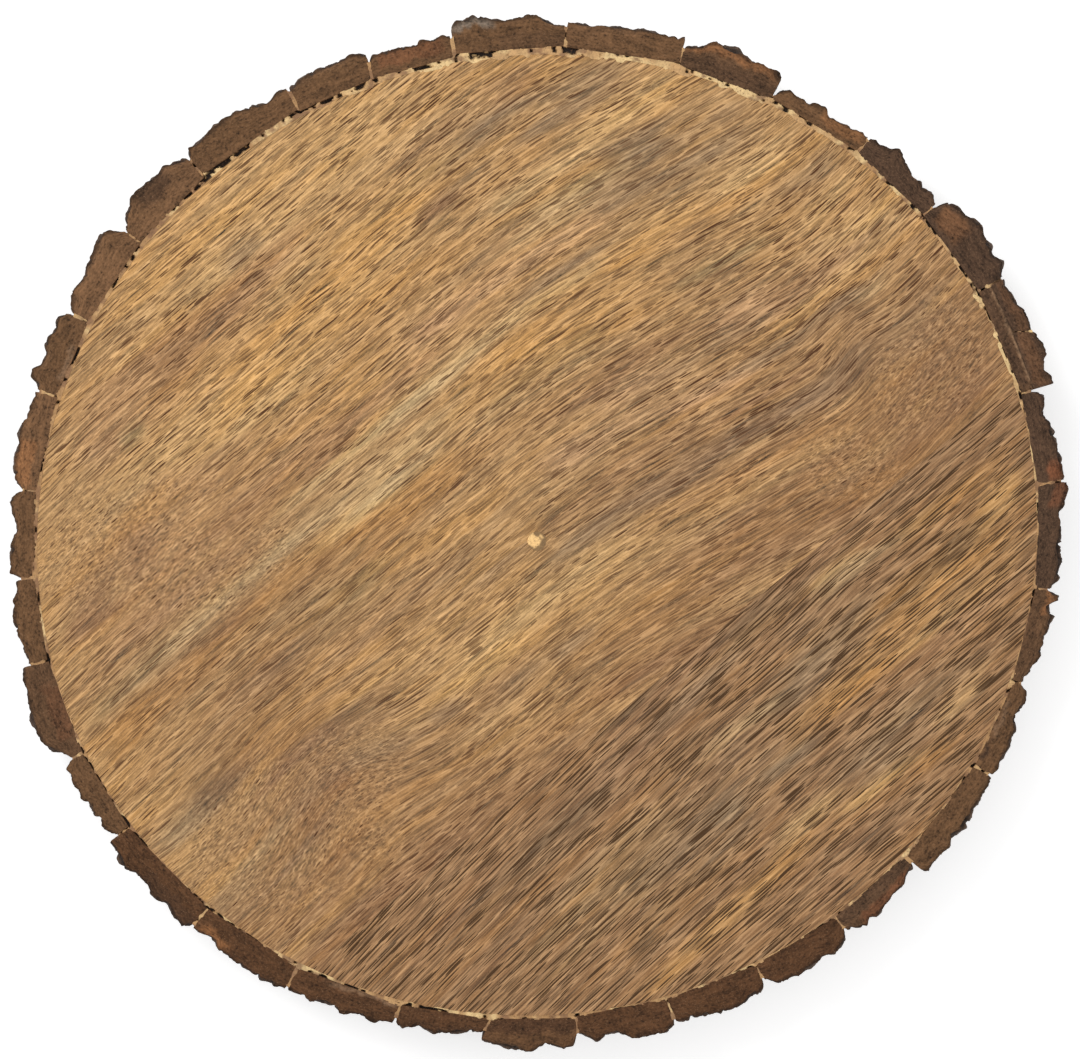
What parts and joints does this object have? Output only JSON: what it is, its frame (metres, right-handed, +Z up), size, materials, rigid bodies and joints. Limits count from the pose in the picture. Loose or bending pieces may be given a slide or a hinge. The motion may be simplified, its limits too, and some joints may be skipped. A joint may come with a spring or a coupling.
{
  "type": "chopping block",
  "caption": "Round wooden chopping block: an oval disc of edge-glued hardwood boards, rimmed with glued-on pieces of rough bark, flat on both faces.",
  "frame": {"origin": "centre of the oval disc's bottom face", "axes": "+Z up, square to the disc; the disc's long axis lies 15 degrees counter-clockwise from +X; the narrower board is towards +X and -Y"},
  "size_m": [0.3315, 0.3256, 0.03],
  "materials": {
    "board_wood": "oiled, open-pored hardwood, sanded flat",
    "bark": "dry rough bark, sanded flat on top",
    "filler": "matt wood filler"
  },
  "bodies": {
    "root": {"board_main": "board_wood", "board_side": "board_wood", "bark_01": "bark", "bark_02": "bark", "bark_03": "bark", "bark_04": "bark", "bark_05": "bark", "bark_06": "bark", "bark_07": "bark", "bark_08": "bark", "bark_09": "bark", "bark_10": "bark", "bark_11": "bark", "bark_12": "bark", "bark_13": "bark", "bark_14": "bark", "bark_15": "bark", "bark_16": "bark", "bark_17": "bark", "bark_18": "bark", "bark_19": "bark", "bark_20": "bark", "bark_21": "bark", "bark_22": "bark", "bark_23": "bark", "bark_24": "bark", "bark_25": "bark", "bark_26": "bark", "bark_27": "bark", "bark_28": "bark", "bark_29": "bark", "bark_30": "bark", "bark_31": "bark", "bark_32": "bark", "bark_33": "bark", "bark_34": "bark", "rim_filler": "filler", "seam_filler": "filler", "centre_plug": "filler"}
  },
  "joints": []
}
